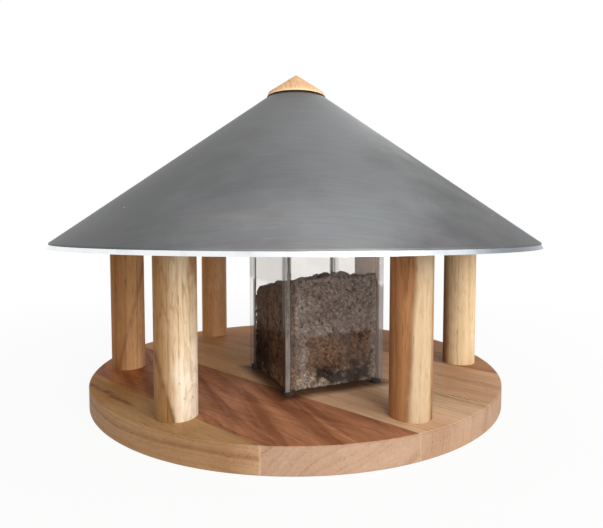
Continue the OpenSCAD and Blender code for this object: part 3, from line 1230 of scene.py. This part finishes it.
class FEEDER_OT_beads(bpy.types.Operator):
    """Run the sealant beads in the silo's corners"""

    bl_idname = "feeder.beads"
    bl_label = "Sealant Beads"

    def execute(self, context):
        silo = context.scene.feeder_silo
        finish, tree, shader = material("Sealant")
        spot = placed(tree)
        cloud = noise(spot * (1, 1, 0.3), 220, 3)
        clean = cloud.between(tone("B9B4AE"), tone("E8E5DF"))
        # Dust and crumbs stick to the beads as high as the seed lies.
        dusty = cloud.between(tone("3E322C"), tone("74645A"))
        share = (cloud * 0.012 + spot.axes()[2]).ranged(0.124, 0.118)
        wire(shader, {"Base Color": share.between(clean, dusty), "Roughness": 0.5})
        inner = silo_half() - PANE - 0.00005
        low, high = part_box("silo_pane_left")
        place = silo_frame((*silo_place().xy, 0))
        shape = bmesh.new()
        for sx, sy in ((-1, -1), (1, -1), (1, 1), (-1, 1)):
            rows = []
            for k in range(BEAD_STEPS + 1):
                z = low.z + (high.z - low.z) * k / BEAD_STEPS
                r = silo.bead * (0.8 + 0.25 * math.sin(k * 1.9 + sx) * math.cos(k * 0.7 + sy))
                if (sx, sy, k) == BEAD_LUMP:
                    r *= 1.8
                far, bent = inner - r, inner - r * 0.35
                arc = ((inner, inner), (inner, far), (bent, bent), (far, inner))
                rows.append([shape.verts.new(place @ Vector((sx * x, sy * y, z))) for x, y in arc])
            bar(shape, rows)
        new_piece("silo_beads", shape, finish, "stand")
        return {"FINISHED"}


# ---------------------------------------------------------------- roof


def unrolled(tree):
    """Coordinates on the cone's sheet as it lay flat, along and across the mill's rolling."""
    cosine = math.cos(bpy.context.scene.feeder_roof.slope)
    x, y, z = placed(tree).axes()
    angle = x.maths("ARCTAN2", y * -1.0) * cosine
    reach = (x.maths("POWER", 2.0) + y.maths("POWER", 2.0)).maths("SQRT")
    slant = reach / cosine
    inputs = {0: slant * angle.maths("SINE"), 1: slant * angle.maths("COSINE"), 2: z}
    return read(tree, "ShaderNodeCombineXYZ", inputs) * (1, 1, 0.2), reach


def bead(shape, path, radius, sides=8):
    """Adds a round bead of uneven thickness along a path."""
    rows = []
    for k, point in enumerate(path):
        ahead = path[min(k + 1, len(path) - 1)] - path[max(k - 1, 0)]
        turn = ahead.to_track_quat("Z", "X")
        thick = radius * (1 + 0.35 * noise_at(point * 260))
        angles = [math.tau * i / sides for i in range(sides)]
        ways = [Vector((thick * math.cos(a), thick * math.sin(a), 0)) for a in angles]
        rows.append([shape.verts.new(point + turn @ way) for way in ways])
    bar(shape, rows)


def zinc_finish():
    """Weathered zinc of the cone and its seam."""
    made, tree, shader = material("Weathered zinc")
    flat, reach = unrolled(tree)
    brushed = noise(flat * (0.05, 1, 1), 620, 4, 0.6)
    cloud = noise(flat * (0.8, 1, 1), 26, 4, 0.6)
    level = (cloud - 0.5) * 0.08 + ((brushed - 0.5) * 0.42 + 1.0)
    # Painted light and shade: the sheet is darker at the left and far right, lighter at the centre
    # right where light falls.
    x = placed(tree).axes()[0]
    lean = x * 0.9 + cloud * 0.12
    level = level * lean.ranged(-0.06, 0.13, 0.48, 1.2) * lean.ranged(0.08, 0.2, 1.0, 0.36)
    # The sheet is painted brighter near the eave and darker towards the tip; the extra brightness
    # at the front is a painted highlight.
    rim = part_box("roof_cone")[1].x
    level = level * reach.ranged(rim * 0.65, rim * 0.95, 1.0, 1.16)
    level = level * reach.ranged(rim * 0.15, rim * 0.4, 0.85, 1.0)
    front = abs(x).ranged(0.1, 0.03) * reach.ranged(rim * 0.65, rim * 0.95)
    level = level * (front * 0.26 + 1.0)
    colour = level.scaling(tuple(bpy.context.scene.feeder_roof.zinc))
    # A faint run of tints lies above the drip edge.
    tint = noise(flat * (0.5, 1.6, 1), 26, output="Color").tinted((2.0, 2.0, 2.0))
    colour = colour.shaded(reach.ranged(rim * 0.8, rim * 0.93) * 0.12, tint)
    colour = specks(flat, 55.0, 0.05, 0.018, 0.82).between(colour, tone("BFC1C2"))
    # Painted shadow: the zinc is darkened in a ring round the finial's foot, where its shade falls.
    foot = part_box("finial")[1].x
    painted_finial_shadow = (cloud * 0.001 + reach).ranged(foot + 0.0045, foot + 0.0015, 0.0, 0.85)
    colour = colour.shaded(painted_finial_shadow, (0.12, 0.08, 0.06))
    rough = (cloud - 0.5) * 0.12 + 0.52
    wire(shader, {"Base Color": colour, "Metallic": 0.35, "Roughness": rough})
    bump(shader, cloud * 0.4 + brushed, 0.15, 0.0004)
    return made


def edge_finish():
    """Bright zinc of the drip edge."""
    made, tree, shader = material("Bright zinc edge")
    spot = placed(tree)
    cloud = noise(spot, 60, 3)
    fine = noise(spot * (0.3, 0.3, 2), 600, 3)
    edge = tuple(bpy.context.scene.feeder_roof.edge)
    colour = cloud.ranged(0.45, 0.8, 0.0, 0.4).between(edge, tone("B4BAC0"))
    # Painted reflection: towards the right the edge turns blue-grey, then dark grey, as darker
    # surroundings would show in it.
    painted_edge_reflection = cloud * 0.03 + spot.axes()[0]
    colour = painted_edge_reflection.ranged(0.07, 0.12, 0.0, 0.5).between(colour, tone("C3D0DC"))
    colour = painted_edge_reflection.ranged(0.11, 0.165, 0.0, 0.9).between(colour, tone("6E757D"))
    rough = (fine - 0.5) * 0.15 + 0.25
    wire(shader, {"Base Color": colour, "Metallic": 1.0, "Roughness": rough})
    bump(shader, fine, 0.1, 0.0003)
    return made


class FEEDER_OT_roof(bpy.types.Operator):
    """Finish the zinc cone, its drip edge and its seam, and solder both sides of the seam"""

    bl_idname = "feeder.roof"
    bl_label = "Zinc Roof"

    def execute(self, context):
        zinc = zinc_finish()
        give("roof_cone", zinc)
        give("roof_seam", zinc)
        give("roof_drip_edge", edge_finish())

        solder = metal_finish("Solder", 320, ("84878A", "B4B6B8"), (0.32, 0.5))
        tip = max((v.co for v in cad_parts["roof_cone"].data.vertices), key=lambda co: co.z)
        fall = math.tan(context.scene.feeder_roof.slope)
        radius = context.scene.feeder_roof.solder
        low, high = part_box("roof_seam")
        shape = bmesh.new()
        for x in (low.x - radius * 0.4, high.x + radius * 0.4):
            path = []
            for k in range(SOLDER_STEPS + 1):
                y = low.y + 0.001 + (high.y - low.y - 0.003) * k / SOLDER_STEPS
                path.append(Vector((x, y, tip.z - (math.hypot(x, y) - tip.xy.length) * fall)))
            bead(shape, path, radius)
        new_piece("roof_solder", shape, solder, "roof")
        return {"FINISHED"}


class FEEDER_OT_fixings(bpy.types.Operator):
    """Finish the washer and screw under the roof's tip"""

    bl_idname = "feeder.fixings"
    bl_label = "Fixings"

    def execute(self, context):
        give("finial_washer", steel_finish())
        give("finial_screw", steel_finish())
        return {"FINISHED"}


# ---------------------------------------------------------------- stage


class FEEDER_OT_stage(bpy.types.Operator):
    """Set up the floor, the backdrop, the lamps and the camera"""

    bl_idname = "feeder.stage"
    bl_label = "Stage"

    def execute(self, context):
        stage = context.scene.feeder_stage
        self.camera(context, stage)
        self.floor(stage)
        self.sky(context, stage)
        self.lamp("Key", (0.85, -1.7, 0.85), 1.5, stage.key)
        self.lamp("Fill", (1.65, -1.0, 0.35), 1.2, stage.fill)
        self.lamp("Front", (-0.7, -1.8, 0.3), 1.2, stage.fill * 0.7)
        self.lamp("Back", (0.3, 1.6, 1.3), 1.3, stage.fill * 0.6)
        context.scene.view_settings.view_transform = "Standard"
        return {"FINISHED"}

    def camera(self, context, stage):
        data = bpy.data.cameras.new("Camera")
        data.sensor_width = 36
        data.lens = stage.lens
        data.shift_y = stage.rise
        data.dof.use_dof = False
        camera = linked("Camera", data)
        camera.location = stage.eye
        camera.rotation_euler = (stage.pitch, 0, 0)
        context.scene.camera = camera

    def floor(self, stage):
        finish, tree, shader = material("Floor")
        finish.use_backface_culling = True
        inputs = {"Base Color": tuple(stage.floor), "Roughness": 0.9, "Specular IOR Level": 0.1}
        wire(shader, inputs)
        # Away from the feeder the floor turns into the white backdrop.
        share = placed(tree).length().ranged(0.25, 0.9, stage.glow, 1.0)
        white = read(tree, "ShaderNodeEmission", {"Color": WHITE, "Strength": 1.0})
        above = layered(share * seen_directly(tree), Value(shader.outputs[0]), white)
        under = read(tree, "ShaderNodeNewGeometry", output="Backfacing")
        clear = read(tree, "ShaderNodeBsdfTransparent")
        wire(tree.nodes["Material Output"], {"Surface": layered(under, above, clear)})
        shape = bmesh.new()
        bmesh.ops.create_circle(shape, cap_ends=True, segments=96, radius=FLOOR_RADIUS)
        bmesh.ops.translate(shape, verts=shape.verts, vec=(0, 0, -FLOOR_DROP))
        mesh = meshed("Floor", shape)
        mesh.materials.append(finish)
        floor = linked("Floor", mesh)

    def sky(self, context, stage):
        world = bpy.data.worlds.new("Sky")
        world.use_nodes = True
        tree = world.node_tree
        even = tree.nodes["Background"]
        wire(even, {"Color": WHITE, "Strength": stage.sky})
        white = read(tree, "ShaderNodeBackground", {"Color": WHITE, "Strength": 1.0})
        seen = layered(seen_directly(tree), Value(even.outputs[0]), white)
        wire(tree.nodes["World Output"], {"Surface": seen})
        context.scene.world = world

    def lamp(self, name, place, size, power):
        data = bpy.data.lights.new(name, "AREA")
        data.shape = "DISK"
        data.size = size
        data.energy = power
        lamp = linked(name, data)
        lamp.location = place
        lamp.rotation_euler = (AIM - Vector(place)).to_track_quat("-Z", "Y").to_euler()


class FEEDER_PT_panel(bpy.types.Panel):
    """The feeder's settings and operators"""

    bl_idname = "FEEDER_PT_panel"
    bl_label = "Bird Feeder"
    bl_space_type = "VIEW_3D"
    bl_region_type = "UI"
    bl_category = "Bird Feeder"

    def draw(self, context):
        for name, settings in SETTINGS.items():
            box = self.layout.box()
            for key in settings.__annotations__:
                box.prop(getattr(context.scene, name), key)
        for operator in OPERATORS:
            self.layout.operator(operator.bl_idname)


SETTINGS = {
    "feeder_oak": FeederOak,
    "feeder_ring": FeederRing,
    "feeder_silo": FeederSilo,
    "feeder_roof": FeederRoof,
    "feeder_stage": FeederStage,
}
OPERATORS = (
    FEEDER_OT_stage,
    FEEDER_OT_base,
    FEEDER_OT_posts,
    FEEDER_OT_ring,
    FEEDER_OT_glass,
    FEEDER_OT_seed,
    FEEDER_OT_beads,
    FEEDER_OT_roof,
    FEEDER_OT_finial,
    FEEDER_OT_fixings,
)


def register():
    for name, settings in SETTINGS.items():
        bpy.utils.register_class(settings)
        setattr(bpy.types.Scene, name, PointerProperty(type=settings))
    for made in (*OPERATORS, FEEDER_PT_panel):
        bpy.utils.register_class(made)


def unregister():
    for made in (FEEDER_PT_panel, *reversed(OPERATORS)):
        bpy.utils.unregister_class(made)
    for name, settings in reversed(SETTINGS.items()):
        delattr(bpy.types.Scene, name)
        bpy.utils.unregister_class(settings)


def main():
    """Registers the classes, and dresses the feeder."""
    register()
    for operator in OPERATORS:
        family, name = operator.bl_idname.split(".")
        getattr(getattr(bpy.ops, family), name)()


if __name__ == "__main__":
    main()
